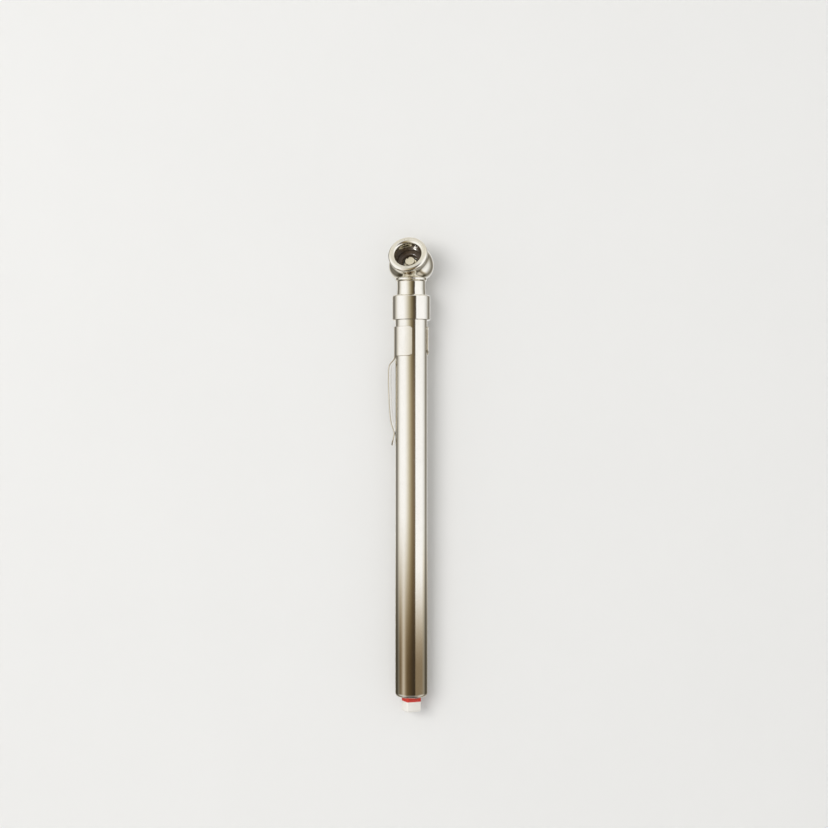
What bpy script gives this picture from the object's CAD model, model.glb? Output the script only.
# A pencil tyre gauge lying on a pale floor: a cast ball head with an angled chuck, a collar,
# a chromed barrel with a pocket clip, and a printed indicator bar on a piston and spring.
# Shapes are worked out in millimetres in the ball's frame: from the ball's centre, with z up
# the barrel and the chuck towards -y. to_row() lays them down in the row frame, in metres,
# where the barrel runs along +Y and the chuck faces +Z.
import math
import bmesh
import bpy
import numpy as np
from mathutils import Matrix, Vector


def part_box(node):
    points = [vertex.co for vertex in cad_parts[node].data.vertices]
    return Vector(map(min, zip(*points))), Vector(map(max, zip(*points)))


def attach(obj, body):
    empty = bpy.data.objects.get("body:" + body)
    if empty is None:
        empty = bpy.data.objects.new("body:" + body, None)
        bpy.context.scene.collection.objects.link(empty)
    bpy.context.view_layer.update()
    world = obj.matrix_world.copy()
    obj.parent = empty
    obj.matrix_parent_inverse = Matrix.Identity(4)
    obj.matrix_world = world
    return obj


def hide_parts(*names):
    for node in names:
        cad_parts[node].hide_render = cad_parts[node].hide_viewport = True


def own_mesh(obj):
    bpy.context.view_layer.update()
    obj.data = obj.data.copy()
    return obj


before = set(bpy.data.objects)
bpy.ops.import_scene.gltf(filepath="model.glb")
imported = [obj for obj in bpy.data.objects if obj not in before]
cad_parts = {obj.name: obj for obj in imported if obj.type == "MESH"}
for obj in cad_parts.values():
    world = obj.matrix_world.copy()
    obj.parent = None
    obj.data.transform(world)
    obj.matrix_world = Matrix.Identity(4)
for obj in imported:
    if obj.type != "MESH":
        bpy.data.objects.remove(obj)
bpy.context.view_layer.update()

# ---------------------------------------------------------------- driving dimensions, mm
tube_low, tube_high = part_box("barrel_tube")
TUBE_R = (tube_high.x - tube_low.x) / 2 * 1000
TUBE_END = 136.1                        # depth of the barrel's lower end
TUBE_WALL = 0.5
TUBE_ROLL = 1.3                         # radius of the rolled lower end
IN_R = TUBE_R - TUBE_WALL
# the ball's centre in the row frame
CENTRE = ((tube_low.x + tube_high.x) / 2 * 1000, tube_high.y * 1000 - TUBE_END,
          (tube_low.z + tube_high.z) / 2 * 1000)

BALL_R, LOW_R = 7.1, 4.8                # the ball above, and its tighter curve below
RIM_HEIGHT, RIM_R = 7.8, 6.2            # the chuck's rim, along its axis and across
SEAT = 3.1                              # top of the washer groove along the chuck
FLAT = 6.8                              # distance of the flat on the ball's back
# angle between the barrel and the floor, which the flat and the tube's end both touch
LEAN = (math.atan2(TUBE_END - TUBE_ROLL, TUBE_R)
        - math.acos(FLAT / math.hypot(TUBE_R, TUBE_END - TUBE_ROLL)))

# depths of the upper faces of the inner parts
BUSHING_DEPTH = TUBE_END - 0.9 - 6.4
ADJUSTER_DEPTH = BUSHING_DEPTH - 3.05
REAR_SEAT_DEPTH = ADJUSTER_DEPTH - 0.43
PISTON_DEPTH, FLANGE_T = 26.6, 2.0
GAP, SPRING_SEAT_T = 0.02, 0.4
FRONT_SEAT_DEPTH = PISTON_DEPTH + FLANGE_T + GAP
STROKE = 48.0

BAR_W, BAR_TURN = 4.76, 34.0            # the square bar's width, and its turn in degrees
BAR_TOP, BAR_END = -32.5, -140.8

TILT = math.radians(26)
CHUCK_AXIS = np.array([0, -math.cos(TILT), math.sin(TILT)])
CHUCK_U = np.array([1.0, 0, 0])
CHUCK_V = np.cross(CHUCK_AXIS, CHUCK_U)


# ---------------------------------------------------------------- frames
def to_row_axes(points):
    points = np.asarray(points, float)
    return np.c_[-points[:, 0], -points[:, 2], -points[:, 1]]


def to_row(points):
    return (to_row_axes(points) + CENTRE) / 1000


def from_chuck(points):
    """Points given along the chuck (u, v, axis) as points of the ball's frame."""
    return points[:, :1] * CHUCK_U + points[:, 1:2] * CHUCK_V + points[:, 2:] * CHUCK_AXIS


def turn(points, degrees):
    """Turns an array of points round the barrel's axis."""
    c, s = math.cos(math.radians(degrees)), math.sin(math.radians(degrees))
    x, y, z = points.T
    return np.c_[x * c - y * s, x * s + y * c, z]


def ease(x, start, end):
    """A smooth step from 0 at the start to 1 at the end."""
    t = np.clip((np.asarray(x, float) - start) / (end - start), 0, 1)
    return t * t * (3 - 2 * t)


# ---------------------------------------------------------------- mesh tools
def build(name, piece, body, node, slot, material, smooth=True):
    """Makes an object from (verts, faces) or (verts, faces, normals) in the ball's frame."""
    verts, faces, *normals = piece
    mesh = bpy.data.meshes.new(name)
    mesh.from_pydata(to_row(verts).tolist(), [], [tuple(int(i) for i in f) for f in faces])
    mesh.validate()
    mesh.polygons.foreach_set("use_smooth", [smooth] * len(mesh.polygons))
    mesh.update()
    if normals:
        mesh.normals_split_custom_set_from_vertices(to_row_axes(normals[0]).tolist())
    obj = bpy.data.objects.new(name, mesh)
    bpy.context.scene.collection.objects.link(obj)
    mesh.materials.append(material)
    if node:
        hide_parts(node)
    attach(obj, body)
    return obj


def face_outwards(obj):
    bm = bmesh.new()
    bm.from_mesh(obj.data)
    bmesh.ops.recalc_face_normals(bm, faces=bm.faces)
    bm.to_mesh(obj.data)
    bm.free()


def sharp_smooth(obj, degrees):
    """Smooth shading that keeps edges above an angle crisp."""
    mesh = obj.data
    mesh.polygons.foreach_set("use_smooth", [True] * len(mesh.polygons))
    mesh.set_sharp_from_angle(angle=math.radians(degrees))


def rounded(points, radii, steps=6):
    """A closed outline with each corner rounded by its own radius."""
    points = np.asarray(points, float)
    if np.isscalar(radii):
        radii = [radii] * len(points)
    out = []
    for i, corner in enumerate(points):
        radius = radii[i]
        to_a, to_b = points[i - 1] - corner, points[(i + 1) % len(points)] - corner
        len_a, len_b = np.linalg.norm(to_a), np.linalg.norm(to_b)
        if radius <= 0 or len_a < 1e-9 or len_b < 1e-9:
            out.append(corner)
            continue
        to_a, to_b = to_a / len_a, to_b / len_b
        angle = math.acos(max(-1, min(1, float(to_a @ to_b))))
        if angle > math.pi - 0.02:
            out.append(corner)
            continue
        cut = min(radius / math.tan(angle / 2), len_a * 0.49, len_b * 0.49)
        radius = cut * math.tan(angle / 2)
        middle = to_a + to_b
        centre = corner + middle / np.linalg.norm(middle) * radius / math.sin(angle / 2)
        start, end = corner + to_a * cut - centre, corner + to_b * cut - centre
        first = math.atan2(start[1], start[0])
        sweep = math.atan2(end[1], end[0]) - first
        sweep = (sweep + math.pi) % (2 * math.pi) - math.pi
        for k in range(steps + 1):
            a = first + sweep * k / steps
            out.append(centre + radius * np.array([math.cos(a), math.sin(a)]))
    return np.array(out)


def bridge(first, second, flip=False):
    """Quads between two closed rings of vertex numbers."""
    quads = []
    for i in range(len(first)):
        j = (i + 1) % len(first)
        a, b = (j, i) if flip else (i, j)
        quads.append((first[a], first[b], second[b], second[a]))
    return quads


def fan(ring, centre, flip=False):
    """Triangles from a closed ring to one vertex."""
    pairs = [(ring[i], ring[(i + 1) % len(ring)]) for i in range(len(ring))]
    return [(b, a, centre) if flip else (a, b, centre) for a, b in pairs]


def wall(rings):
    """Faces between each ring and the next, without repeated corners."""
    faces = []
    for first, second in zip(rings, rings[1:]):
        for quad in bridge(first, second):
            corners = [v for n, v in enumerate(quad) if v != quad[n - 1]]
            if len(corners) >= 3:
                faces.append(corners)
    return faces


def lathe(outline, segments):
    """Turns a closed outline of (r, z). Points on the axis share one vertex."""
    outline = np.asarray(outline, float)
    # a ring close to each end of a straight run keeps its shading straight
    points = []
    for a, b in zip(outline, np.roll(outline, -1, 0)):
        points.append(a)
        length = np.hypot(*(b - a))
        if length > 0.5:
            points += [a + (b - a) * 0.05 / length, b - (b - a) * 0.05 / length]
    points = np.array(points)
    # keep the outline counter-clockwise in (r, z) so that faces look outwards
    if signed_area(points) < 0:
        points = points[::-1]
    verts, rings = [], []
    t = np.arange(segments) * 2 * math.pi / segments
    for r, z in points:
        if r < 1e-6:
            rings.append([len(verts)] * segments)
            verts.append((0, 0, z))
        else:
            rings.append(list(range(len(verts), len(verts) + segments)))
            verts += list(zip(r * np.cos(t), r * np.sin(t), [z] * segments))
    return np.array(verts), wall(rings + rings[:1])


def signed_area(outline):
    x, y = outline.T
    return 0.5 * np.sum(x * np.roll(y, -1) - np.roll(x, -1) * y)


# ---------------------------------------------------------------- materials
class Shader:
    """A small wrapper round a node tree with one Principled surface."""

    def __init__(self, name):
        self.material = bpy.data.materials.new(name)
        self.material.use_nodes = True
        self.tree = self.material.node_tree
        self.tree.nodes.clear()
        output = self.node("ShaderNodeOutputMaterial")
        self.surface = self.node("ShaderNodeBsdfPrincipled")
        self.link(self.surface.outputs[0], output.inputs[0])
        # position in the ball's frame, in millimetres
        place = self.node("ShaderNodeTexCoord").outputs["Object"]
        place = self.split(self.vector("MULTIPLY", place, (1000, 1000, 1000)))
        joined = self.node("ShaderNodeCombineXYZ")
        for i, row_axis in enumerate((0, 2, 1)):
            self.link(self.math("SUBTRACT", CENTRE[row_axis], place[row_axis]), joined.inputs[i])
        self.position = joined.outputs[0]

    def node(self, kind, **settings):
        node = self.tree.nodes.new(kind)
        for key, value in settings.items():
            setattr(node, key, value)
        return node

    def link(self, start, end):
        self.tree.links.new(start, end)

    def put(self, socket, value):
        if isinstance(value, bpy.types.NodeSocket):
            self.link(value, socket)
        else:
            socket.default_value = value

    def vector(self, operation, a, b):
        node = self.node("ShaderNodeVectorMath", operation=operation)
        self.put(node.inputs[0], a)
        self.put(node.inputs[1], b)
        return node.outputs[0]

    def math(self, operation, a, b=0.0):
        node = self.node("ShaderNodeMath", operation=operation)
        for i, value in enumerate((a, b, 0.0)):
            self.put(node.inputs[i], value)
        return node.outputs[0]

    def noise(self, scale, detail, rough=0.5, stretch=(1, 1, 1), distort=0.0, shift=(0, 0, 0)):
        node = self.node("ShaderNodeTexNoise")
        place = self.vector("ADD", self.vector("MULTIPLY", self.position, stretch), shift)
        self.link(place, node.inputs["Vector"])
        node.inputs["Scale"].default_value = scale
        node.inputs["Detail"].default_value = detail
        node.inputs["Roughness"].default_value = rough
        node.inputs["Distortion"].default_value = distort
        return node.outputs["Fac"]

    def ramp(self, factor, stops):
        """A grey ramp through (position, grey) stops, the first of them at 0."""
        node = self.node("ShaderNodeValToRGB")
        elements = node.color_ramp.elements
        elements.remove(elements[-1])
        for i, (position, grey) in enumerate(stops):
            element = elements.new(position) if i else elements[0]
            element.color = (grey, grey, grey, 1)
        self.link(factor, node.inputs[0])
        return node.outputs[0]

    def mix(self, factor, a, b):
        node = self.node("ShaderNodeMix", data_type="RGBA")
        self.put(node.inputs[0], factor)
        for i, colour in ((6, a), (7, b)):
            is_socket = isinstance(colour, bpy.types.NodeSocket)
            self.put(node.inputs[i], colour if is_socket else (*colour, 1))
        return node.outputs[2]

    def spread(self, noise, low=0.0, high=1.0):
        """Stretches a noise's middle range over low to high."""
        node = self.node("ShaderNodeMapRange")
        self.put(node.inputs[0], noise)
        for i, value in enumerate((0.3, 0.7, low, high), 1):
            node.inputs[i].default_value = value
        return node.outputs[0]

    def blend(self, noise, a, b, most=1.0):
        """Goes from a towards b with the noise, at most by the given share."""
        return self.mix(self.spread(noise, high=most), a, b)

    def split(self, vector):
        node = self.node("ShaderNodeSeparateXYZ")
        self.link(vector, node.inputs[0])
        return node.outputs

    def bump(self, height, distance, strength=1.0, after=None):
        """The distance is in millimetres."""
        node = self.node("ShaderNodeBump")
        node.inputs["Strength"].default_value = strength
        node.inputs["Distance"].default_value = distance / 1000
        self.link(height, node.inputs["Height"])
        if after is not None:
            self.link(after, node.inputs["Normal"])
        return node.outputs[0]

    def finish(self, colour, rough, normal=None, metal=0.0, specular=0.5):
        inputs = self.surface.inputs
        self.link(colour, inputs["Base Color"])
        self.put(inputs["Roughness"], rough)
        self.put(inputs["Metallic"], metal)
        self.put(inputs["Specular IOR Level"], specular)
        if normal is not None:
            self.link(normal, inputs["Normal"])
        return self.material


def scaled(colour, factor):
    return tuple(c * factor for c in colour)


def chrome(name, tint, deep, rough, wave, wave_scale, stretch):
    """Plate between two tints; wave is the depth of its slow ripple in millimetres."""
    m = Shader(name)
    slow = m.noise(scale=0.12, detail=3, stretch=stretch)
    fine = m.noise(scale=2.2, detail=6, rough=0.6, stretch=(1, 1, 0.35), distort=0.3,
                   shift=(7, 3, 1))
    colour = m.blend(slow, tint, deep)
    # thin grey haze
    smudge = m.noise(scale=0.35, detail=5, rough=0.65, stretch=(1, 1, 0.6), distort=0.6,
                     shift=(31, 11, 5))
    colour = m.blend(smudge, colour, scaled(deep, 0.86), most=0.22)
    roughness = m.math("ADD", m.spread(fine, *rough), m.spread(smudge, high=0.05))
    # wandering hairlines, mostly along the part
    hair = m.noise(scale=1.1, detail=8, rough=0.7, stretch=(3.2, 3.2, 0.12), distort=0.8,
                   shift=(3, 9, 2))
    hair = m.ramp(hair, [(0.0, 0.0), (0.495, 0.0), (0.505, 1.0), (0.515, 0.0), (1.0, 0.0)])
    ripple = m.noise(scale=wave_scale, detail=2, rough=0.4, stretch=stretch, shift=(2, 5, 8))
    normal = m.bump(hair, distance=0.0006, after=m.bump(ripple, distance=wave))
    return m.finish(colour, roughness, normal, metal=1.0)


CHROME_TUBE = chrome("chrome_tube", tint=(0.91, 0.89, 0.84), deep=(0.865, 0.84, 0.77),
                     rough=(0.045, 0.10), wave=0.006, wave_scale=0.10, stretch=(1, 1, 0.12))
CHROME_HEAD = chrome("chrome_head", tint=(0.92, 0.90, 0.84), deep=(0.85, 0.82, 0.73),
                     rough=(0.035, 0.09), wave=0.020, wave_scale=0.45, stretch=(1, 1, 1))
CHROME_COLLAR = chrome("chrome_collar", tint=(0.915, 0.895, 0.845), deep=(0.87, 0.845, 0.775),
                       rough=(0.04, 0.10), wave=0.008, wave_scale=0.2, stretch=(1, 1, 0.5))
CHROME_CLIP = chrome("chrome_clip", tint=(0.91, 0.885, 0.83), deep=(0.85, 0.82, 0.745),
                     rough=(0.05, 0.11), wave=0.012, wave_scale=0.3, stretch=(1, 1, 0.4))


def turned_metal(name, light, dark, rough=(0.22, 0.38), rings=7.0):
    """Metal with turning marks round the barrel's axis, rings to the mm, and dark patches."""
    m = Shader(name)
    x, y, z = m.split(m.position)
    radius = m.math("SQRT", m.math("ADD", m.math("MULTIPLY", x, x), m.math("MULTIPLY", y, y)))
    across = m.math("SINE", m.math("MULTIPLY", radius, rings * 6.283))
    along = m.math("SINE", m.math("MULTIPLY", z, rings * 5.1))
    lines = m.math("ADD", across, along)
    grain = m.noise(scale=1.6, detail=6, rough=0.6, distort=0.4)
    colour = m.blend(grain, light, dark)
    stain = m.noise(scale=0.5, detail=5, rough=0.7, distort=0.8, shift=(5, 2, 9))
    colour = m.blend(stain, colour, scaled(dark, 0.62), most=0.35)
    normal = m.bump(grain, distance=0.01, strength=0.4)
    normal = m.bump(lines, distance=0.004, strength=0.6, after=normal)
    return m.finish(colour, m.spread(grain, *rough), normal, metal=1.0)


BRASS = turned_metal("brass_turned", light=(0.80, 0.64, 0.34), dark=(0.66, 0.49, 0.22))
STEEL = turned_metal("steel_zinc", light=(0.68, 0.68, 0.67), dark=(0.52, 0.53, 0.55),
                     rough=(0.25, 0.42), rings=4.0)
PIN = turned_metal("pin_pale_brass", light=(0.92, 0.88, 0.76), dark=(0.80, 0.74, 0.58),
                   rough=(0.16, 0.30), rings=3.0)


def wire_steel(name):
    m = Shader(name)
    grain = m.noise(scale=2.5, detail=7, rough=0.65, distort=0.5)
    stain = m.noise(scale=0.3, detail=4, rough=0.6, stretch=(1, 1, 0.4), distort=0.3,
                    shift=(4, 4, 4))
    colour = m.blend(grain, (0.55, 0.56, 0.58), (0.36, 0.37, 0.40))
    colour = m.blend(stain, colour, (0.30, 0.25, 0.20), most=0.4)
    rough = m.spread(grain, low=0.24, high=0.40)
    return m.finish(colour, rough, m.bump(grain, distance=0.012, strength=0.5), metal=1.0)


WIRE = wire_steel("spring_wire")


def rubber(name, dark, light, rough=(0.42, 0.62)):
    m = Shader(name)
    grain = m.noise(scale=5.0, detail=8, rough=0.7)
    patches = m.noise(scale=0.7, detail=4, rough=0.6, distort=0.5, shift=(8, 1, 3))
    colour = m.blend(patches, dark, light)
    bloom = tuple(min(1, c * 1.9 + 0.02) for c in light)
    colour = m.blend(grain, colour, bloom, most=0.25)
    normal = m.bump(grain, distance=0.03, strength=0.5)
    return m.finish(colour, m.spread(grain, *rough), normal, specular=0.45)


RUBBER = rubber("rubber_black", dark=(0.030, 0.022, 0.018), light=(0.050, 0.034, 0.026))
RUBBER_WET = rubber("rubber_polished", dark=(0.042, 0.028, 0.017), light=(0.075, 0.050, 0.032),
                    rough=(0.20, 0.34))


def plastic(name, dark, light, rough=(0.34, 0.5)):
    m = Shader(name)
    grain = m.noise(scale=3.5, detail=7, rough=0.6)
    patches = m.noise(scale=0.25, detail=3, stretch=(1, 1, 0.3), distort=0.2, shift=(1, 6, 2))
    return m.finish(m.blend(patches, dark, light), m.spread(grain, *rough),
                    m.bump(grain, distance=0.012, strength=0.35))


BUSHING_BLACK = plastic("bushing_black", dark=(0.020, 0.020, 0.020), light=(0.040, 0.038, 0.036))
INK_BLACK = plastic("ink_black", dark=(0.015, 0.015, 0.017), light=(0.03, 0.03, 0.035),
                    rough=(0.45, 0.6))


def bar_white(name, band_high, band_low):
    """White nylon with a printed red band between two heights, its edges a little uneven."""
    m = Shader(name)
    grain = m.noise(scale=3.0, detail=7, rough=0.6)
    patches = m.noise(scale=0.3, detail=4, stretch=(1, 1, 0.15), distort=0.3, shift=(3, 1, 2))
    base = m.blend(patches, (0.94, 0.925, 0.89), (0.87, 0.85, 0.80))
    dirt = m.noise(scale=0.9, detail=6, rough=0.7, distort=0.7, shift=(9, 2, 4))
    base = m.blend(dirt, base, (0.62, 0.55, 0.45), most=0.14)
    z = m.split(m.position)[2]
    # the edge wanders by a quarter of the noise, in millimetres
    ragged = m.noise(scale=1.6, detail=5, rough=0.6, shift=(6, 6, 6))
    ragged = m.math("MULTIPLY", m.math("SUBTRACT", ragged, 0.5), 0.25)
    edge = m.math("ADD", z, ragged)
    inside = m.math("MULTIPLY", m.math("LESS_THAN", edge, band_high),
                    m.math("GREATER_THAN", edge, band_low))
    worn = m.noise(scale=2.8, detail=8, rough=0.7, distort=0.4, shift=(2, 8, 1))
    worn = m.ramp(worn, [(0.0, 1.0), (0.30, 0.8), (0.36, 0.0), (1.0, 0.0)])
    kept = m.math("SUBTRACT", 1.0, worn)
    colour = m.mix(m.math("MULTIPLY", inside, kept), base, (0.66, 0.045, 0.028))
    return m.finish(colour, m.spread(grain, low=0.36, high=0.5),
                    m.bump(grain, distance=0.010, strength=0.4))


BAR_NYLON = bar_white("bar_nylon_printed", band_high=-TUBE_END + 0.4, band_low=-TUBE_END - 1.45)


# ---------------------------------------------------------------- solids from distances
# Each solid is a function of points that is negative inside. Soft is the width over which
# two surfaces melt together.
def union(a, b, soft):
    h = np.clip(0.5 + 0.5 * (b - a) / soft, 0, 1)
    return b * (1 - h) + a * h - soft * h * (1 - h)


def overlap(a, b, soft):
    return -union(-a, -b, soft)


def slab(along, low, high):
    return np.maximum(low - along, along - high)


def rod(across, along, radius, low, high, soft):
    return overlap(across - radius, slab(along, low, high), soft)


def axis_distance(x, y):
    return np.sqrt(x * x + y * y) + 1e-9


def thread_wave(x, y, z, pitch):
    """A triangle wave from 0 to 1 that climbs as a helix."""
    turns = np.arctan2(y, x) / (2 * np.pi)
    return np.abs(((z / pitch - turns) % 1.0) - 0.5) * 2


def gradient(distance, points, step=0.01):
    slope = np.empty_like(points)
    for i in range(3):
        shift = np.zeros(3)
        shift[i] = step
        slope[..., i] = (distance(points + shift) - distance(points - shift)) / (2 * step)
    return slope


def surface_net(distance, low, high, step):
    """The closed quad surface where the distance is zero."""
    size = np.ceil((np.array(high) - np.array(low)) / step).astype(int) + 1
    axes = [low[i] + step * np.arange(size[i]) for i in range(3)]
    grid = np.stack(np.meshgrid(*axes, indexing="ij"), -1)
    # a few layers at a time, to save memory
    value = np.concatenate([distance(grid[i:i + 8]) for i in range(0, size[0], 8)], 0)
    value[np.abs(value) < 1e-7] = 1e-7
    cells = size - 1

    def at(corner):
        return value[tuple(slice(c, c + n) for c, n in zip(corner, cells))]

    # one vertex to a cell, at the mean of the crossings on its edges
    total = np.zeros((*cells, 3))
    count = np.zeros(cells)
    for corner in np.ndindex(2, 2, 2):
        for d in range(3):
            if corner[d]:
                continue
            end = list(corner)
            end[d] = 1
            near, far = at(corner), at(end)
            crossed = (near < 0) != (far < 0)
            point = np.zeros(total.shape) + corner
            point[..., d] += np.where(crossed, near / np.where(crossed, near - far, 1), 0)
            total += point * crossed[..., None]
            count += crossed
    used = count > 0
    index = -np.ones(cells, int)
    index[used] = np.arange(used.sum())
    verts = (total[used] / count[used][:, None] + np.argwhere(used)) * step + np.array(low)

    # one quad to a crossed grid edge
    inside = value < 0
    faces = []
    for d in range(3):
        a, b = (d + 1) % 3, (d + 2) % 3
        start = np.argwhere(np.diff(inside, axis=d))
        start = start[(start[:, a] > 0) & (start[:, b] > 0)
                      & (start[:, a] < size[a] - 1) & (start[:, b] < size[b] - 1)]
        quads = []
        for step_a, step_b in ((-1, -1), (0, -1), (0, 0), (-1, 0)):
            cell = start.copy()
            cell[:, a] += step_a
            cell[:, b] += step_b
            quads.append(index[tuple(cell.T)])
        quads = np.stack(quads, -1)
        flip = ~inside[tuple(start.T)]
        quads[flip] = quads[flip][:, ::-1]
        faces.append(quads)
    faces = np.concatenate(faces)
    return verts, faces[(faces >= 0).all(1)]


def solid(distance, low, high, full_step, rounds=5):
    """Verts, faces and normals of a distance's surface, its verts drawn onto it in rounds."""
    verts, faces = surface_net(distance, low, high, full_step)
    for _ in range(rounds):
        slope = gradient(distance, verts)
        steep = np.maximum((slope * slope).sum(-1), 0.25)
        verts = verts - (distance(verts) / steep)[:, None] * slope
    slope = gradient(distance, verts)
    return verts, faces, slope / np.maximum(np.linalg.norm(slope, axis=-1), 1e-9)[:, None]


# ---------------------------------------------------------------- head and chuck
LIP_R, LIP_H = 1.11, 0.9                # half width and half height of the rolled rim
MOUTH_DEPTH = 1.6
O_RING_Z = -15.9


def head_distance(p):
    """Ball, chuck cup, neck and spigot in one casting."""
    x, y, z = p[..., 0], p[..., 1], p[..., 2]
    rho = axis_distance(x, y)
    # along the chuck's axis, and away from it
    s = p @ CHUCK_AXIS
    away = np.sqrt(np.maximum((p * p).sum(-1) - s * s, 0)) + 1e-9
    lip_mid = away - RIM_R + LIP_R

    # round above, and drawing in sooner below, towards the flange ring
    upper = np.sqrt((p * p).sum(-1)) - BALL_R
    lower = np.sqrt(np.maximum(rho - (BALL_R - LOW_R), 0) ** 2 + z * z) - LOW_R
    ball = np.where(z > 0, upper, lower)
    # the cup narrows a little behind its rolled rim
    waist = RIM_R - 0.46 + 0.14 * np.clip((s - 3.6) / 2.6, 0, 1) ** 2
    cup = rod(away, s, waist, 0, RIM_HEIGHT - 0.92, 0.3)
    lip = np.sqrt((lip_mid / LIP_R) ** 2 + ((s - RIM_HEIGHT + LIP_H) / LIP_H) ** 2)
    cup = union(cup, (lip - 1) * 0.98, 0.25)
    body = union(ball, cup, 0.55)

    # neck: tapers upwards, then flares below the flange ring
    taper = 0.16 * np.clip((z + 9.4) / 2.3, 0, 1)
    flare = 0.45 * np.clip((z + 5.25) / 0.65, 0, 1) ** 2
    neck = overlap(rho - 4.6 + taper - flare, slab(z, -9.93, 0), 0.12)
    flange = np.sqrt(np.maximum(rho - 4.7, 0) ** 2 + (z + 4.35) ** 2) - 0.25
    body = overlap(body, -(z + 4.0), 0.3)
    body = union(body, rod(rho, z, 4.65, -4.6, -3.2, 0.1), 0.12)
    body = union(body, union(neck, flange, 0.12), 0.06)
    spigot = rod(rho, z, 4.5, -21.0, -9.0, 0.2)
    body = np.minimum(body, spigot)

    # what is cut out
    bore = np.maximum(away - 3.93, SEAT - 0.15 - s)
    # the rim's inner side falls away in a longer curve than its outer one
    mouth_floor = s - RIM_HEIGHT + MOUTH_DEPTH
    curve = 1 - np.sqrt((lip_mid / 1.17) ** 2 + (mouth_floor / MOUTH_DEPTH) ** 2)
    mouth = np.maximum(np.maximum(lip_mid, -mouth_floor), curve)
    bore = np.minimum(bore, mouth)
    groove = rod(away, s, 4.55, 1.0, SEAT, 0.15)
    pin_hole = np.maximum(away - 1.6, slab(s, -2.2, 3.0))
    airway = np.maximum(rho - 1.25, z)
    ring_groove = overlap(3.0 - rho, np.abs(z - O_RING_Z) - 0.9, 0.2)
    cut = np.minimum(np.minimum(union(bore, groove, 0.05), pin_hole),
                     np.minimum(airway, ring_groove))
    body = overlap(body, -cut, 0.2)
    return overlap(body, y * math.cos(LEAN) - z * math.sin(LEAN) - FLAT, 0.12)


build("head_casting.shell",
      solid(head_distance, (-7.7, -10.4, -21.5), (7.7, 7.7, 10.0), full_step=0.19),
      "barrel", "head_casting", "chrome_cast", CHROME_HEAD)

# rubber washer in the chuck's groove, crowned outwards, with a rounded lip at its hole
WASHER_OUTLINE = [(2.25, 1.02), (4.5, 1.02), (4.5, SEAT - 0.3), (3.7, SEAT - 0.06),
                  (2.25, SEAT - 0.06)]  # (radius, height along the chuck)
verts, faces = lathe(rounded(WASHER_OUTLINE, [0.1, 0.15, 0.25, 0.5, 0.75], 10), 128)
build("chuck_washer.ring", (from_chuck(verts), faces), "barrel", "chuck_washer", "rubber",
      RUBBER_WET)


def pin_distance(p):
    """Depressor along the chuck: stem, shoulder and the tip with a notch in its edge."""
    u, v, s = p[..., 0], p[..., 1], p[..., 2]
    r = axis_distance(u, v)
    stem = rod(r, s, 1.57, -2.0, 1.1, 0.1)
    shoulder = rod(r, s, 2.08, 1.03, 1.53, 0.12)
    tip = rod(r, s, 1.48, 1.0, SEAT + 0.1, 0.16)
    body = union(np.minimum(stem, shoulder), tip, 0.08)
    hole = rod(r, s, 0.65, -2.2, 2.0, 0.1)
    a = math.radians(20)
    cross_hole = np.sqrt((u * math.cos(a) + v * math.sin(a)) ** 2 + (s - 1.9) ** 2) - 0.3
    a = math.radians(125)
    outwards = u * math.cos(a) + v * math.sin(a)
    sideways = -u * math.sin(a) + v * math.cos(a)
    notch = overlap(np.abs(sideways) - 0.3, np.maximum(1.1 - outwards, SEAT - 0.4 - s), 0.1)
    return overlap(body, -np.minimum(np.minimum(hole, cross_hole), notch), 0.1)


verts, faces, normals = solid(pin_distance, (-2.3, -2.3, -2.2), (2.3, 2.3, SEAT + 0.35),
                              full_step=0.085)
build("valve_depressor.pin", (from_chuck(verts), faces, from_chuck(normals)), "barrel",
      "valve_depressor", "depressor_brass", PIN)

# ---------------------------------------------------------------- collar and barrel
COLLAR_TOP, COLLAR_BOTTOM = -9.3, -17.2
COLLAR_OUTLINE = [  # (radius, z)
    (4.65, COLLAR_TOP), (5.55, COLLAR_TOP), (6.0, -9.72), (6.0, -17.0), (5.8, COLLAR_BOTTOM),
    (5.08, COLLAR_BOTTOM), (5.08, -9.9), (4.65, -9.9)]
COLLAR_ROUNDING = [0.12, 0.22, 0.22, 0.12, 0.12, 0.08, 0.05, 0.05]
build("collar.ring", lathe(rounded(COLLAR_OUTLINE, COLLAR_ROUNDING), 256),
      "barrel", "collar", "chrome_collar", CHROME_COLLAR)


def tube_outline():
    top, chamfer = -9.95, 0.08
    x, z = TUBE_R - TUBE_ROLL, -TUBE_END + TUBE_ROLL

    def arc(radius, first, last, count):
        return [(x + radius * math.cos(a), z + radius * math.sin(a))
                for a in np.radians(np.linspace(first, last, count))]

    outer = arc(TUBE_ROLL, 0, -90, 15)
    inner = arc(TUBE_ROLL - TUBE_WALL, -90, 0, 13)
    # the cut edge of the rolled lip is rounded
    half = TUBE_WALL / 2
    lip = [(x - 0.16 * math.sin(a), -TUBE_END + half - half * math.cos(a))
           for a in np.linspace(0.5, math.pi - 0.5, 5)]
    heights = [top - chamfer, -40.0, -80.0, -120.0]
    outside = [(TUBE_R, h) for h in heights]
    inside = [(IN_R, h) for h in heights[::-1]]
    mouth = [(IN_R + chamfer, top), (TUBE_R - chamfer, top)]
    return outside + outer + lip + inner + inside + mouth


build("barrel_tube.shell", lathe(tube_outline(), 256),
      "barrel", "barrel_tube", "chrome_tube", CHROME_TUBE)

# ---------------------------------------------------------------- pocket clip, one bent sheet
BAND_TOP, BAND_H = -19.2, 9.4
BAND_BOTTOM = BAND_TOP - BAND_H
CLIP_T = 0.45
CLIP_R = TUBE_R + 0.035 + CLIP_T / 2    # radius of the sheet's middle surface
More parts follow.
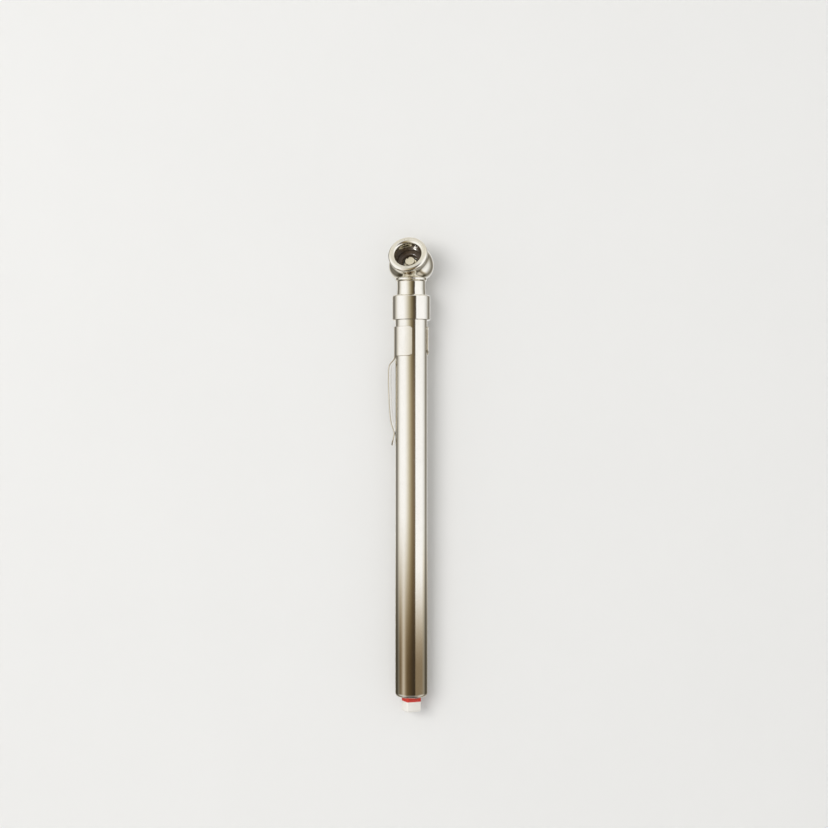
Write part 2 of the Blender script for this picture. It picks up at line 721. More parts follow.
# the flat sheet is measured round the band from the tongue: u is positive along the front arm
TONGUE_ANGLE, FRONT_ANGLE, REAR_ANGLE = -180, -77.5, -8 - 360
U_FRONT = (math.radians(FRONT_ANGLE) - math.radians(TONGUE_ANGLE)) * CLIP_R
U_REAR = (math.radians(REAR_ANGLE) - math.radians(TONGUE_ANGLE)) * CLIP_R
TONGUE_HALF, TONGUE_LENGTH = 2.1, 28.2
ARM_CORNER, TONGUE_FILLET = 1.1, 0.9
EDGE_ROUND = 0.11

# (distance of the sheet's middle off its place on the band, depth below the band)
TONGUE_PATH = np.array([
    [0, -1.2], [0, -0.6], [0, 0.0], [0.02, 0.5], [0.28, 1.1], [0.98, 1.9], [1.62, 2.9],
    [1.80, 4.4], [1.83, 6.6], [1.80, 9.2], [1.71, 12.0], [1.57, 15.0], [1.38, 18.0],
    [1.10, 20.6], [0.62, 22.3], [0.14, 23.5], [-0.06, 24.3], [0.12, 25.3], [0.40, 26.4],
    [0.62, 27.3], [0.76, 28.0], [0.86, 28.6], [0.94, 29.2]])


def smooth_path(points, per=12):
    """A cubic B-spline along the control points, so the bend has no kinks or waves."""
    points = np.vstack([2 * points[0] - points[1], points, 2 * points[-1] - points[-2]])
    out = []
    for i in range(len(points) - 3):
        for t in np.arange(per) / per:
            weights = np.array([(1 - t) ** 3, 3 * t ** 3 - 6 * t * t + 4,
                                -3 * t ** 3 + 3 * t * t + 3 * t + 1, t ** 3]) / 6
            out.append(weights @ points[i:i + 4])
    return np.array(out)


SMOOTH_TONGUE = smooth_path(TONGUE_PATH)


def tongue_off(depth):
    return np.interp(depth, SMOOTH_TONGUE[:, 1], SMOOTH_TONGUE[:, 0])


def round_off(radius, distance):
    """How far a rounded corner has drawn in at a distance from its side."""
    return radius - math.sqrt(max(radius ** 2 - (radius - distance) ** 2, 0))


def flat_clip():
    """The flat sheet's (u, z) as one grid: columns round the band, then the tongue's rows."""
    half, fillet, length = TONGUE_HALF, TONGUE_FILLET, TONGUE_LENGTH
    tongue_u = np.linspace(-half, half, 17)
    corner_u = ARM_CORNER * (1 - np.cos(np.linspace(0, math.pi / 2, 9)))
    rear = [U_REAR + corner_u,
            np.linspace(U_REAR + ARM_CORNER, -half - fillet, 40)[1:-1],
            np.linspace(-half - fillet, -half, 7)[:-1]]
    front = [np.linspace(half, half + fillet, 7)[1:],
             np.linspace(half + fillet, U_FRONT - ARM_CORNER, 14)[1:-1],
             (U_FRONT - corner_u)[::-1]]
    tongue_start = sum(len(part) for part in rear)
    rows = 25
    verts, columns = [], []
    for u in np.concatenate([*rear, tongue_u, *front]):
        # the rear arm is a little narrower than the front one
        top, bottom = BAND_TOP, BAND_BOTTOM + 1.4 * ease(-u, 12.0, 18.0)
        for end in (U_FRONT - u, u - U_REAR):
            if end < ARM_CORNER:
                cut = round_off(ARM_CORNER, end)
                top -= cut
                bottom += cut
        side = abs(u) - half
        if 0 <= side < fillet:
            bottom -= round_off(fillet, side)
        if side < 0:
            bottom -= fillet
        columns.append(range(len(verts), len(verts) + rows))
        verts += [(u, bottom + (top - bottom) * (1 - i / (rows - 1))) for i in range(rows)]
    faces = []
    for a, b in zip(columns, columns[1:]):
        faces += [(a[i], a[i + 1], b[i + 1], b[i]) for i in range(rows - 1)]
    # tongue, down to its round end
    round_start = length - half
    depths = np.concatenate([
        np.linspace(fillet, 5, 26)[1:], np.linspace(5, 20, 22)[1:],
        np.linspace(20, round_start, 34)[1:],
        round_start + half * np.sin(np.linspace(0, math.pi / 2, 12))[1:]])
    previous = [column[-1] for column in columns[tongue_start:tongue_start + len(tongue_u)]]
    for depth in depths:
        width = half - 0.18 * min(1, depth / length)
        if depth > round_start:
            width *= math.sqrt(max(1 - ((depth - length + half) / half) ** 2, 0.0))
        width = max(width, 0.25)
        row = range(len(verts), len(verts) + len(tongue_u))
        verts += [(u / half * width, BAND_BOTTOM - depth) for u in tongue_u]
        faces += [(previous[i], row[i], row[i + 1], previous[i + 1]) for i in range(len(row) - 1)]
        previous = row
    return np.array(verts), faces


def bend_clip(flat_points, offset):
    """Bends the flat sheet round the tube, at an offset from its middle surface."""
    u, z = flat_points.T
    depth = BAND_BOTTOM - z
    on_path = depth > -0.8
    off = np.where(on_path, tongue_off(depth), 0)
    step = 0.15
    slope = (tongue_off(depth + step) - tongue_off(depth - step)) / (2 * step)
    slope = np.where(on_path, slope, 0)
    # the tongue flattens as it leaves the band
    angle = u / CLIP_R
    flat = np.where(np.abs(angle) < 1.2, ease(depth, 0, 3.0) * 0.72, 0)
    # the front arm straightens a little towards its end
    radius = CLIP_R + 0.055 * np.maximum(u - U_FRONT + 2.2, 0) ** 2
    round_x, round_y = -np.cos(angle), -np.sin(angle)
    x = radius * round_x * (1 - flat) - CLIP_R * flat
    y = radius * round_y * (1 - flat) - u * flat
    normal_x = round_x * (1 - flat) - flat
    normal_y = round_y * (1 - flat)
    size = np.hypot(normal_x, normal_y)
    # move out by the path, and lean the sheet's own normal with the path's slope
    lean = 1 / np.sqrt(1 + slope * slope)
    return np.stack([x - off + offset * normal_x / size * lean,
                     y + offset * normal_y / size * lean,
                     z + offset * slope * lean], -1)


def clip_piece():
    flat, faces = flat_clip()
    count = len(flat)
    # the sheet's outline, in order
    edges = dict.fromkeys((f[i], f[(i + 1) % 4]) for f in faces for i in range(4))
    following = {a: b for a, b in edges if (b, a) not in edges}
    loop = [next(iter(following))]
    while following[loop[-1]] != loop[0]:
        loop.append(following[loop[-1]])
    loop = np.array(loop)
    outline = flat[loop]
    tangent = np.roll(outline, -1, 0) - np.roll(outline, 1, 0)
    tangent /= np.maximum(np.linalg.norm(tangent, axis=1), 1e-9)[:, None]
    inward = np.stack([-tangent[:, 1], tangent[:, 0]], -1)
    if signed_area(outline) < 0:
        inward = -inward
    # pull the outline in a little on both faces, so that the sheet's edge is rounded
    half = CLIP_T / 2
    flat[loop] = outline + inward * EDGE_ROUND
    verts = [bend_clip(flat, half), bend_clip(flat, -half)]
    faces = faces + [tuple(i + count for i in f[::-1]) for f in faces]
    # round over the edge from the outer face to the inner one
    steps = 5
    chain = [loop]
    for k in range(1, steps):
        offset = half * (1 - 2 * k / steps)
        bulge = EDGE_ROUND * (1 - (abs(offset) / half) ** 3)
        verts.append(bend_clip(outline + inward * (EDGE_ROUND - bulge), offset))
        chain.append(2 * count + (k - 1) * len(loop) + np.arange(len(loop)))
    chain.append(loop + count)
    for a, b in zip(chain, chain[1:]):
        faces += bridge(a, b, flip=True)
    return np.concatenate(verts), faces


clip = build("pocket_clip.sheet", clip_piece(), "clip", "pocket_clip", "chrome_clip", CHROME_CLIP)
face_outwards(clip)
sharp_smooth(clip, 50)

# ---------------------------------------------------------------- indicator bar
TIP_INSET, TIP_CORNER = 0.52, 0.25
# (z, inset from the bar's side, corner radius), from the bevelled tip to the top
BAR_STATIONS = [
    (BAR_END, TIP_INSET, TIP_CORNER), (-140.76, 0.42, 0.28), (-140.66, 0.30, 0.3),
    (-140.42, 0.10, 0.35), (-140.32, 0.03, 0.38), (-140.2, 0, 0.4), (-139.0, 0, 0.4),
    (-110, 0, 0.4), (-75, 0, 0.4), (-40, 0, 0.4), (BAR_TOP - 0.25, 0, 0.4),
    (BAR_TOP - 0.08, 0.06, 0.36), (BAR_TOP, 0.2, 0.3)]
TIP_DISH = [(0.7, 0.0), (0.45, 0.03), (0.2, 0.05)]                  # (scale, rise)
SCREW_HOLE = [(BAR_TOP, 1.06), (BAR_TOP - 0.1, 1.0), (BAR_TOP - 6.5, 1.0)]  # (z, radius)


def square_ring(half, corner, steps=6):
    out = []
    for quarter, (x, y) in enumerate([(1, 1), (-1, 1), (-1, -1), (1, -1)]):
        for k in range(steps + 1):
            a = math.pi / 2 * (quarter + k / steps)
            out.append((x * (half - corner) + corner * math.cos(a),
                        y * (half - corner) + corner * math.sin(a)))
    return out


def bar_piece():
    half = BAR_W / 2
    verts = []

    def ring(outline, z):
        verts.extend((x, y, z) for x, y in outline)
        return range(len(verts) - len(outline), len(verts))

    sides = [ring(square_ring(half - inset, corner), z) for z, inset, corner in BAR_STATIONS]
    faces = wall(sides)
    # tip face: shrinking rings to a slightly dished middle
    last = sides[0]
    for scale, rise in TIP_DISH:
        new = ring(square_ring((half - TIP_INSET) * scale, TIP_CORNER * scale), BAR_END + rise)
        faces += bridge(last, new, flip=True)
        last = new
    verts.append((0, 0, BAR_END + 0.055))
    faces += fan(last, len(verts) - 1, flip=True)
    # top face with the hole for the stop screw
    _, inset, corner = BAR_STATIONS[-1]
    angles = [math.atan2(y, x) for x, y in square_ring(half - inset, corner)]
    last = sides[-1]
    for z, radius in SCREW_HOLE:
        new = ring([(radius * math.cos(a), radius * math.sin(a)) for a in angles], z)
        faces += bridge(last, new)
        last = new
    verts.append((0, 0, SCREW_HOLE[-1][0]))
    faces += fan(last, len(verts) - 1)
    return turn(np.array(verts), BAR_TURN), faces


bar = build("indicator_bar.rod", bar_piece(), "indicator", "indicator_bar", "bar_nylon", BAR_NYLON)
sharp_smooth(bar, 35)

# printed scales: graduations on two faces, each with its numbers
INK_T = 0.02
MARK_START, SHORT_MARK_END, LONG_MARK_END = -1.9, -1.2, -0.7    # across the face
MARK_HALF = 0.09
TEXT_SIZE, TEXT_PLACE, TEXT_SQUEEZE = 1.75, 0.75, 0.78


def text_mesh(name, text):
    curve = bpy.data.curves.new(name, "FONT")
    curve.body = text
    curve.size = TEXT_SIZE
    curve.align_x = curve.align_y = "CENTER"
    curve.resolution_u = 3
    curve.extrude = INK_T
    obj = bpy.data.objects.new(name, curve)
    bpy.context.scene.collection.objects.link(obj)
    depsgraph = bpy.context.evaluated_depsgraph_get()
    mesh = bpy.data.meshes.new_from_object(obj.evaluated_get(depsgraph))
    bpy.data.objects.remove(obj)
    bpy.data.curves.remove(curve)
    return mesh


def scale_print(name, face_turn, low, high, minor, major, stroke):
    """Marks at each minor step, and longer ones with numbers at each major step."""
    a = math.radians(BAR_TURN + face_turn)
    normal, along = np.array([math.cos(a), math.sin(a), 0]), np.array([0, 0, 1.0])
    across = np.cross(along, normal)
    half = BAR_W / 2
    verts, faces = [], []

    def add(points, polygons):
        base = len(verts)
        verts.extend(points)
        faces.extend([tuple(i + base for i in polygon) for polygon in polygons])

    # (value, z, whether it is a major one)
    marks = [(v, -TUBE_END + (v - low) / (high - low) * stroke, v % major == 0)
             for v in range(low, high + 1, minor)]
    for _, z, is_major in marks:
        end = LONG_MARK_END if is_major else SHORT_MARK_END
        low_z, high_z = z - MARK_HALF, z + MARK_HALF
        corners = ((MARK_START, low_z), (end, low_z), (end, high_z), (MARK_START, high_z))
        add([normal * out + across * x + along * y
             for out in (half - INK_T, half + INK_T) for x, y in corners],
            [(3, 2, 1, 0), (4, 5, 6, 7), (0, 1, 5, 4), (1, 2, 6, 5), (2, 3, 7, 6), (3, 0, 4, 7)])
    for value, z, is_major in marks:
        if is_major:
            mesh = text_mesh(name + "_t", str(value))
            # numbers read with the tip down
            add([normal * (half + v.co.z) + across * (TEXT_PLACE + v.co.x * TEXT_SQUEEZE)
                 + along * (z + v.co.y) for v in mesh.vertices],
                [tuple(p.vertices) for p in mesh.polygons])
            bpy.data.meshes.remove(mesh)
    build(name, (verts, faces), "indicator", None, "bar_nylon", INK_BLACK, smooth=False)


scale_print("indicator_scale.front", face_turn=-90, low=20, high=120, minor=2, major=10,
            stroke=STROKE)
scale_print("indicator_scale.right", face_turn=0, low=120, high=820, minor=20, major=100,
            stroke=STROKE * 0.98)

# ---------------------------------------------------------------- spring
SPRING_END = REAR_SEAT_DEPTH - GAP
SPRING_TOP = FRONT_SEAT_DEPTH + SPRING_SEAT_T + GAP
SPRING_LENGTH = SPRING_END - SPRING_TOP
WIRE_D = 0.9
COILS = 15
TURNS = COILS + 2                       # with one closed turn at each end


def coil():
    length = SPRING_LENGTH - WIRE_D - 0.02
    end_pitch = WIRE_D + 0.04
    pitch = (length - 2 * end_pitch) / COILS
    radius = 4.4 - WIRE_D / 2

    def drop(t):
        middle = end_pitch + (t - 1) * pitch
        end = np.where(t > TURNS - 1, length - (TURNS - t) * end_pitch, middle)
        return np.where(t < 1, t * end_pitch, end)

    per_turn, sides = ((44, 12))
    t = np.arange(TURNS * per_turn + 1) / per_turn
    # soften the kinks where the closed coils begin
    depth = np.array([drop(np.clip(t + s, 0, TURNS))
                      for s in np.linspace(-0.06, 0.06, 7)]).mean(0)
    depth[0], depth[-1] = drop(0.0), drop(float(TURNS))
    cos, sin = np.cos(2 * np.pi * t), np.sin(2 * np.pi * t)
    centres = np.stack([radius * cos, radius * sin,
                        -(SPRING_TOP + 0.01 + WIRE_D / 2 + depth)], -1)
    tangent = np.gradient(centres, axis=0)
    tangent /= np.linalg.norm(tangent, axis=1)[:, None]
    outward = np.c_[cos, sin, np.zeros(len(t))]
    upward = np.cross(tangent, outward)
    upward /= np.linalg.norm(upward, axis=1)[:, None]
    a = 2 * np.pi * np.arange(sides) / sides
    section = (np.cos(a)[None, :, None] * outward[:, None]
               + np.sin(a)[None, :, None] * upward[:, None])
    verts = (centres[:, None] + WIRE_D / 2 * 0.995 * section).reshape(-1, 3)
    rings = np.arange(len(verts)).reshape(-1, sides)
    faces = (wall(rings) + fan(rings[0], len(verts), flip=True)
             + fan(rings[-1], len(verts) + 1))
    return np.concatenate([verts, centres[[0, -1]]]), faces


spring = build("calibrated_spring.coil", coil(), "barrel", "calibrated_spring", "spring_steel",
               WIRE)
face_outwards(spring)
tuple(to_row([(0, 0, -SPRING_END)])[0])
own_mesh(spring)


# ---------------------------------------------------------------- inner parts
def part(name, outline, radii, body, slot, material):
    """A turned part from an (r, z) outline. It replaces the piece its name begins with."""
    obj = build(name, lathe(rounded(outline, radii, 5), 128), body, name.split(".")[0], slot,
                material)
    sharp_smooth(obj, 40)


def washer(name, inner, outer, depth, thick, body, edge=0.08):
    part(name, [(inner, -depth - thick), (outer, -depth - thick), (outer, -depth),
                (inner, -depth)], edge, body, "steel", STEEL)


O_RING = [(IN_R - 0.77 + 0.75 * math.cos(a), O_RING_Z + 0.75 * math.sin(a))
          for a in np.linspace(0, 2 * math.pi, 25)[:-1]]
build("head_o_ring.ring", lathe(O_RING, 128), "barrel", "head_o_ring", "rubber", RUBBER)

washer("rear_spring_seat.washer", inner=3.6, outer=IN_R - 0.05, depth=REAR_SEAT_DEPTH,
       thick=SPRING_SEAT_T, body="barrel")
washer("front_spring_seat.washer", inner=3.4, outer=IN_R - 0.15, depth=FRONT_SEAT_DEPTH,
       thick=SPRING_SEAT_T, body="piston")
washer("cup_clamp_washer.disc", inner=1.25, outer=3.15, depth=25.05, thick=0.5, body="piston")
washer("bar_stop_disc.disc", inner=1.05, outer=3.35, depth=31.66, thick=0.8, body="indicator",
       edge=0.12)

FLANGE_BOTTOM = -PISTON_DEPTH - FLANGE_T
PISTON_OUTLINE = [  # (radius, z)
    (1.22, -PISTON_DEPTH), (IN_R - 0.12, -PISTON_DEPTH), (IN_R - 0.12, FLANGE_BOTTOM),
    (3.35, FLANGE_BOTTOM), (3.35, -31.6), (2.5, -31.6), (2.5, -29.9), (0, -29.9), (0, -29.8),
    (1.22, -29.8)]
part("piston_body.turned", PISTON_OUTLINE,
     [0.05, 0.15, 0.15, 0.1, 0.2, 0.1, 0.1, 0, 0, 0.05], "piston", "brass", BRASS)
CUP_OUTLINE = [  # (radius, z)
    (1.25, -26.58), (IN_R - 0.25, -26.58), (IN_R - 0.12, -26.45), (IN_R - 0.03, -22.0),
    (IN_R - 0.03, -21.53), (IN_R - 0.45, -21.53), (IN_R - 1.0, -25.28), (IN_R - 1.2, -25.58),
    (1.25, -25.58)]
part("piston_cup.seal", CUP_OUTLINE, [0.05, 0.1, 0.1, 0.2, 0.15, 0.12, 0.3, 0.2, 0.05],
     "piston", "rubber", RUBBER)


def screw(name, head_z, head_r, head_h, shank_r, end_z, slot_w, body):
    """Slotted pan-head screw with a fine thread, its head upwards."""
    def distance(p):
        x, y, z = p[..., 0], p[..., 1], p[..., 2]
        r = axis_distance(x, y)
        dome_r = head_r * 1.6
        dome = np.sqrt(r * r + (z - (head_z + head_h - dome_r)) ** 2) - dome_r
        head = overlap(overlap(r - head_r, head_z - z, 0.1), dome, 0.2)
        thread_r = shank_r - 0.16 * thread_wave(x, y, z, pitch=0.45)
        shank = rod(r, z, thread_r, end_z, head_z + 0.1, 0.1)
        slot = np.maximum(np.abs(y) - slot_w / 2, head_z + head_h * 0.55 - z)
        return overlap(np.minimum(head, shank), -slot, 0.06)

    piece = solid(distance, (-head_r - 0.3, -head_r - 0.3, end_z - 0.3),
                  (head_r + 0.3, head_r + 0.3, head_z + head_h + 0.3),
                  full_step=0.1, rounds=3)
    build(name, piece, body, name.split(".")[0], "steel", STEEL)


screw("piston_screw.pan_head", head_z=-25.03, head_r=2.2, head_h=1.4, shank_r=1.19, end_z=-29.55,
      slot_w=0.5, body="piston")
screw("bar_stop_screw.pan_head", head_z=-31.64, head_r=1.9, head_h=1.2, shank_r=0.98,
      end_z=-38.4, slot_w=0.44, body="indicator")


def adjuster_distance(p):
    """Threaded ring with two key slots in its lower face."""
    x, y, z = p[..., 0], p[..., 1], p[..., 2]
    r = axis_distance(x, y)
    outer = IN_R - 0.03 - 0.12 * thread_wave(x, y, z, pitch=0.5)
    half = 1.5
    ring = overlap(overlap(r - outer, 3.7 - r, 0.1), np.abs(z + ADJUSTER_DEPTH + half) - half, 0.1)
    slot = np.maximum(np.abs(y) - 0.5, z + ADJUSTER_DEPTH + 2.0)
    return overlap(ring, -slot, 0.08)


build("spring_adjuster.ring",
      solid(adjuster_distance, (-4.8, -4.8, -ADJUSTER_DEPTH - 3.3),
            (4.8, 4.8, -ADJUSTER_DEPTH + 0.3), full_step=0.12, rounds=3),
      "barrel", "spring_adjuster", "brass", BRASS)


def bushing_distance(p):
    """Guide with a square hole for the bar and a pocket for the leaf spring."""
    x, y, z = p[..., 0], p[..., 1], p[..., 2]
    r = axis_distance(x, y)
    c, s = math.cos(math.radians(BAR_TURN)), math.sin(math.radians(BAR_TURN))
    bar_x, bar_y = x * c + y * s, -x * s + y * c
    top = -BUSHING_DEPTH
    body = rod(r, z, IN_R - 0.03, -(TUBE_END - 1.4), top, 0.25)
    nose = rod(r, z, TUBE_R - 1.45, -(TUBE_END - 0.15), top - 0.5, 0.2)
    half = BAR_W / 2
    hole = overlap(np.abs(bar_x) - (half + 0.05), np.abs(bar_y) - (half + 0.05), 0.1)
    pocket = np.maximum(slab(bar_x, 0, half + 1.0),
                        np.maximum(np.abs(bar_y) - 1.3, np.abs(z - (top - 3.0)) - 2.2))
    return overlap(np.minimum(body, nose), -np.minimum(hole, pocket), 0.15)


build("end_bushing.guide",
      solid(bushing_distance, (-4.8, -4.8, -TUBE_END - 0.2), (4.8, 4.8, -(TUBE_END - 7.6)),
            full_step=0.15, rounds=4),
      "barrel", "end_bushing", "bushing_plastic", BUSHING_BLACK)


def leaf():
    """A bowed strip beside the bar, its middle nearest to it, with eased edges."""
    steps, height, thick, rise, half_width, edge = 40, 4.2, 0.25, 0.6, 1.2, 0.04
    bottom = -BUSHING_DEPTH - 5.1
    bow = [(rise * (2 * i / steps - 1) ** 2, height * i / steps) for i in range(steps + 1)]
    outline = bow + [(x + thick, z) for x, z in bow[::-1]]
    count = len(outline)
    verts = []
    for y, ease_in in ((-half_width, edge), (-half_width + 0.08, 0.0),
                       (half_width - 0.08, 0.0), (half_width, edge)):
        for i, (x, z) in enumerate(outline):
            side = 1 if i <= steps else -1
            verts.append((BAR_W / 2 + 0.04 + x + side * ease_in, y, bottom + z))
    rings = np.arange(4 * count).reshape(4, count)
    faces = wall(rings)
    for ring, order in ((rings[0], 1), (rings[3], -1)):
        faces += [(ring[i], ring[i + 1], ring[count - 2 - i], ring[count - 1 - i])[::order]
                  for i in range(steps)]
    return turn(np.array(verts), BAR_TURN), faces


drag_leaf = build("drag_spring.leaf", leaf(), "barrel", "drag_spring", "spring_steel", WIRE)
face_outwards(drag_leaf)
sharp_smooth(drag_leaf, 40)

# ---------------------------------------------------------------- studio, in the row frame, m
SCENE = bpy.context.scene
FLOOR_U = Vector((0, math.cos(LEAN), math.sin(LEAN)))
FLOOR_N = Vector((0, -math.sin(LEAN), math.cos(LEAN)))
FLOOR_POINT = Vector(to_row([(0, FLAT / math.cos(LEAN), 0)])[0]) - FLOOR_N * 0.00002
BALL = Vector([c / 1000 for c in CENTRE])

# the camera's directions: towards it, to its right and up
CAMERA_TURN = math.radians(10.0)
BACK = Vector((-math.sin(CAMERA_TURN), 0, math.cos(CAMERA_TURN)))
RIGHT = Vector((-math.cos(CAMERA_TURN), 0, -math.sin(CAMERA_TURN)))
UP = Vector((0, -1, 0))


def add_object(name, data):
    obj = bpy.data.objects.new(name, data)
    SCENE.collection.objects.link(obj)
    return obj


def stage_mesh(name, verts, faces, material, camera=True):
    mesh = bpy.data.meshes.new(name)
    mesh.from_pydata([tuple(v) for v in verts], [], faces)
    mesh.polygons.foreach_set("use_smooth", [True] * len(mesh.polygons))
    obj = add_object(name, mesh)
    mesh.materials.append(material)
    if not camera:
        obj.visible_camera = False
        obj.visible_shadow = False
    return obj


def paper(name, colour):
    m = Shader(name)
    cloud = m.noise(scale=0.02, detail=3)
    return m.finish(m.blend(cloud, scaled(colour, 0.99), colour), rough=0.9, specular=0.05)


def add_floor(radius=1.3, bend=0.5, height=1.0, segments=96):
    """A round bowl: floor that turns up into a wall."""
    profile = [(0.0, 0.0), (0.05, 0.0), (0.2, 0.0), (radius - bend, 0.0)]
    profile += [(radius - bend + bend * math.sin(a), bend - bend * math.cos(a))
                for a in np.linspace(0, math.pi / 2, 18)[1:]]
    profile += [(radius, height)]
    verts, rings = [], []
    middle = FLOOR_POINT + FLOOR_U * 0.06
    for r, z in profile:
        if r == 0:
            rings.append([0] * segments)
            verts.append(middle)
            continue
        rings.append(list(range(len(verts), len(verts) + segments)))
        for k in range(segments):
            a = 2 * math.pi * k / segments
            verts.append(middle + Vector((1, 0, 0)) * (r * math.cos(a))
                         + FLOOR_U * (r * math.sin(a)) + FLOOR_N * z)
    floor = stage_mesh("floor_bowl", verts, wall(rings), paper("paper", (0.80, 0.80, 0.795)))
    floor.visible_glossy = False


add_floor()

# What the chrome sees: a drum of soft light round the gauge. Angles are in degrees from the
# camera's direction, positive to the right, and heights in mm up the barrel.
ANGLES = [-90, -80, -72, -62, -55, -47, -39, -31, -24, -17, -10, -2, 5, 12, 19, 27, 31, 38, 45,
          60, 72, 80]
HEIGHTS = [-400, -300, -200, -175, -156, -148, -139, -131, -123, -114, -106, -98, -90, -74, -58,
           -41, -22, -4, 12, 27, 48, 68, 389]
# (angle on either side, brightness) round the back of the drum
BEHIND = [(100, 0.80), (112, 0.40), (124, 0.19), (136, 0.17), (147, 0.42), (158, 0.80),
          (180, 0.84)]
SCREEN_R = 0.15


def glow(z, a):
    """Light at a height and angle. A broad pale panel on the left fades into a dark gap, and a
    crisp one stands on the right. Down the barrel it all turns warm and dim, then pale again."""
    pale = np.array([0.92, 0.895, 0.84])
    gap = np.array([1.0, 0.72, 0.42]) * (0.045 + 0.10 * ease(-z, 4, 41))
    left = (1 - ease(a, -52, 20)) ** np.array([1.0, 1.12, 1.5]) * (1 - 0.15 * ease(-a, 75, 100))
    right = ease(a, 27, 31)
    panel = np.maximum(left, right)
    colour = gap + (pale - gap) * panel
    # over the head the gap closes
    colour = colour + (pale * 0.80 - colour) * ease(z, 27, 68) * (1 - panel)
    # the shade at the lower end, weakest along a ridge on the left
    keep = 0.13 + 0.39 * math.exp(-((a + 57) / 15) ** 2) + 0.09 * right
    shade = ease(-z, 80 + 28 * ease(a, 20, 31), 150)
    warming = np.array([1.0, 1.2, 1.55])
    colour = np.array([0.022, 0.018, 0.011]) + colour * (1 - (1 - keep) * shade) ** warming
    # the pale room beyond the shade
    side = ease(abs(a), 45, 85)
    far = side * 0.9 * ease(-z, 158, 225) + (1 - side) * 0.5 * ease(-z, 170, 420)
    return colour + (np.array([0.70, 0.68, 0.62]) - colour) * far


def behind_light(brightness, level):
    warm = np.array([1.0, 0.96, 0.88])
    power = (1 if brightness > 0.3 else 2) + 3 * (1 - level)
    return np.minimum(brightness * level * warm ** power, 0.9)


def screen_table():
    """Heights, angles and the light at each of them."""
    heights = np.array(HEIGHTS, float)
    front = np.array([[glow(z, a) for a in ANGLES] for z in heights])
    tint = np.array([0.885, 0.86, 0.795])
    level = 1 - 0.7 * ease(-heights, 85, 150)
    level[heights < -180] = 0.7  # the pale room beyond the shade
    side = np.array([[behind_light(b, lv) for _, b in BEHIND] for lv in level])
    table = np.concatenate([side[:, ::-1], front / tint, np.minimum(side * 1.25, 0.85)], 1)
    angles = [-a for a, _ in BEHIND[::-1]] + ANGLES + [a for a, _ in BEHIND]
    # past the head the stripes melt into one even cream, so the ball doesn't show them as rays
    cream = np.array([0.86, 0.83, 0.75])
    heights = np.insert(heights, -1, (110.0, 170.0))
    melting = (table[-1] * 0.45 + cream * 0.55, table[-1] * 0.08 + cream * 0.92)
    table = np.insert(table, -1, melting, 0)
    table[-1] = cream * 0.88  # as bright as the room seen through the screen's open end
    return heights, angles, table


def screen_material():
    material = bpy.data.materials.new("screen")
    material.use_nodes = True
    tree = material.node_tree
    tree.nodes.clear()
    output = tree.nodes.new("ShaderNodeOutputMaterial")
    emission = tree.nodes.new("ShaderNodeEmission")
    attribute = tree.nodes.new("ShaderNodeAttribute")
    attribute.attribute_name = "light"
    tree.links.new(attribute.outputs["Color"], emission.inputs[0])
    emission.inputs[1].default_value = 1.0
    tree.links.new(emission.outputs[0], output.inputs[0])
    return material


def add_screen():
    heights, angles, table = screen_table()
    columns = np.unique(np.concatenate([np.linspace(-180, 180, 241), angles]))
    rows = np.unique(np.concatenate([np.linspace(heights[0], heights[-1], 141), heights]))
    verts, colours = [], []
    for z in rows:
        k = min(np.searchsorted(heights, z, side="right") - 1, len(heights) - 2)
        t = (z - heights[k]) / (heights[k + 1] - heights[k])
        light = table[k] * (1 - t) + table[k + 1] * t
        for a in columns:
            out = BACK * math.cos(math.radians(a)) + RIGHT * math.sin(math.radians(a))
            verts.append(BALL + out * SCREEN_R + UP * (z / 1000))
            colours.append([np.interp(a, angles, light[:, c]) for c in range(3)] + [1.0])
    n = len(columns)
    faces = [(j * n + i, j * n + i + 1, (j + 1) * n + i + 1, (j + 1) * n + i)
             for j in range(len(rows) - 1) for i in range(n - 1)]
    screen = stage_mesh("light_screen", verts, faces, screen_material(), camera=False)
    layer = screen.data.color_attributes.new("light", "FLOAT_COLOR", "POINT")
    layer.data.foreach_set("color", np.array(colours, np.float32).ravel())
    screen.visible_diffuse = False
    screen.visible_transmission = False


add_screen()


def add_key_light():
    """Soft light from the left, for shape and a faint shadow on the floor."""
    light = bpy.data.lights.new("key", "AREA")
    light.shape = "RECTANGLE"
    light.size, light.size_y = 0.7, 0.9
    light.energy = 7.8
    light.color = (1.0, 0.985, 0.96)
    key = add_object("key", light)
    key.location = BALL + BACK * 1.1 - RIGHT * 0.75 - FLOOR_U * 0.2
    key.rotation_mode = "QUATERNION"
    aim = BALL + FLOOR_U * 0.06
    key.rotation_quaternion = (key.location - aim).to_track_quat("Z", "Y")
    key.visible_glossy = False
    key.visible_camera = False


def add_washer_lamp():
    """A small lamp to the left of the lens, which lights only the chuck's washer."""
    light = bpy.data.lights.new("lens_lamp", "POINT")
    light.energy = 11.0
    light.shadow_soft_size = 0.02
    lamp = add_object("lens_lamp", light)
    lamp.location = BALL + BACK * 0.36 - RIGHT * 0.35 + UP * 0.07
    lamp.visible_diffuse = False
    receivers = bpy.data.collections.new("lens_lamp_on")
    receivers.objects.link(bpy.data.objects["chuck_washer.ring"])
    lamp.light_linking.receiver_collection = receivers


add_key_light()
add_washer_lamp()

# (place, colour) of the room in reflections: 0 looks towards -Y, 1 towards +Y
ROOM_STOPS = [(0.0, (1.0, 0.97, 0.88, 1)), (1.0, (0.05, 0.045, 0.035, 1)),
              (0.55, (0.9, 0.87, 0.8, 1)), (0.68, (0.30, 0.27, 0.21, 1)),
              (0.8, (0.08, 0.07, 0.055, 1))]


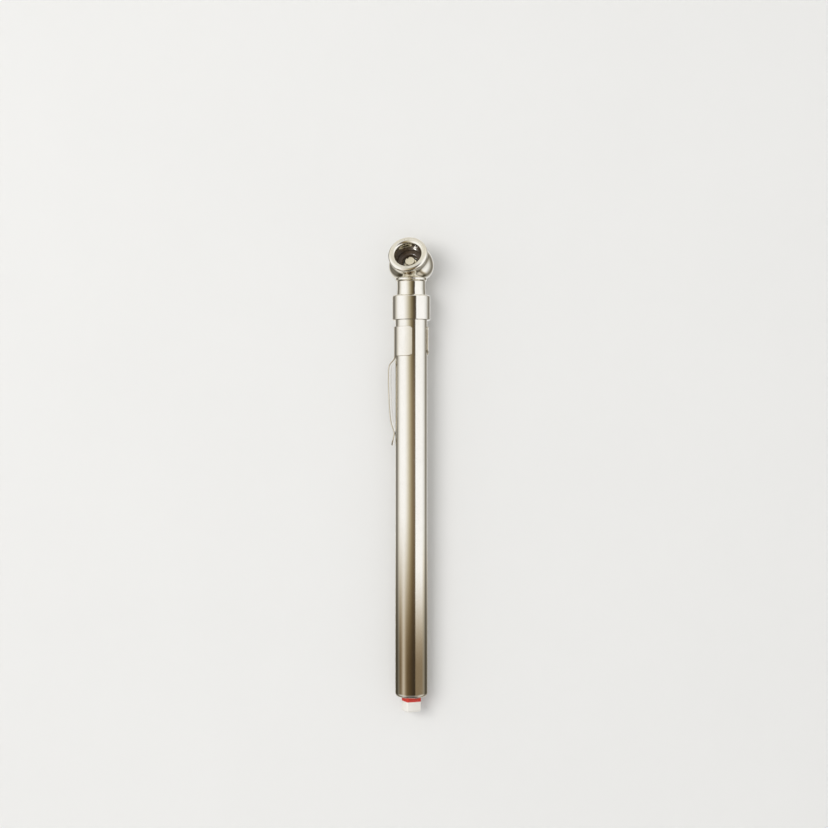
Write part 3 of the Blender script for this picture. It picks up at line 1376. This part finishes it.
def set_world():
    """An even, pale room, but in reflections darker beyond the barrel's lower end."""
    world = bpy.data.worlds.new("studio")
    SCENE.world = world
    world.use_nodes = True
    nodes, link = world.node_tree.nodes, world.node_tree.links.new
    background = nodes["Background"]
    direction = nodes.new("ShaderNodeTexCoord")
    split = nodes.new("ShaderNodeSeparateXYZ")
    link(direction.outputs["Generated"], split.inputs[0])
    ramp = nodes.new("ShaderNodeValToRGB")
    to_unit = nodes.new("ShaderNodeMapRange")
    to_unit.inputs[1].default_value, to_unit.inputs[2].default_value = -1, 1
    link(split.outputs[1], to_unit.inputs[0])
    link(to_unit.outputs[0], ramp.inputs[0])
    elements = ramp.color_ramp.elements
    for i, (place, colour) in enumerate(ROOM_STOPS):
        # the ramp starts out with its two ends
        element = elements[i] if i < 2 else elements.new(place)
        element.color = colour
    rays = nodes.new("ShaderNodeLightPath")
    mix = nodes.new("ShaderNodeMix")
    mix.data_type = "RGBA"
    link(rays.outputs["Is Glossy Ray"], mix.inputs[0])
    mix.inputs[6].default_value = (1.0, 0.998, 0.99, 1)
    link(ramp.outputs[0], mix.inputs[7])
    link(mix.outputs[2], background.inputs[0])
    background.inputs[1].default_value = 0.75


set_world()

CAMERA_DISTANCE = 0.507
VIEW_WIDTH = 0.2618964                  # width of the view at the gauge
AIM_RIGHT, AIM_DOWN = 0.000838195, 0.0468124  # from the ball's centre to the view's


def add_camera():
    """Looks at the front of the gauge with the head at the top."""
    camera = bpy.data.cameras.new("camera")
    camera.sensor_width = 36
    camera.lens = camera.sensor_width * CAMERA_DISTANCE / VIEW_WIDTH
    obj = add_object("camera", camera)
    obj.location = BALL + RIGHT * AIM_RIGHT - UP * AIM_DOWN + BACK * CAMERA_DISTANCE
    obj.rotation_mode = "QUATERNION"
    obj.rotation_quaternion = Matrix((RIGHT, UP, BACK)).transposed().to_quaternion()
    camera.clip_start, camera.clip_end = 0.01, 20
    SCENE.camera = obj


add_camera()
SCENE.view_settings.view_transform = "Standard"
SCENE.view_settings.look = "None"
SCENE.view_settings.exposure = 0.0
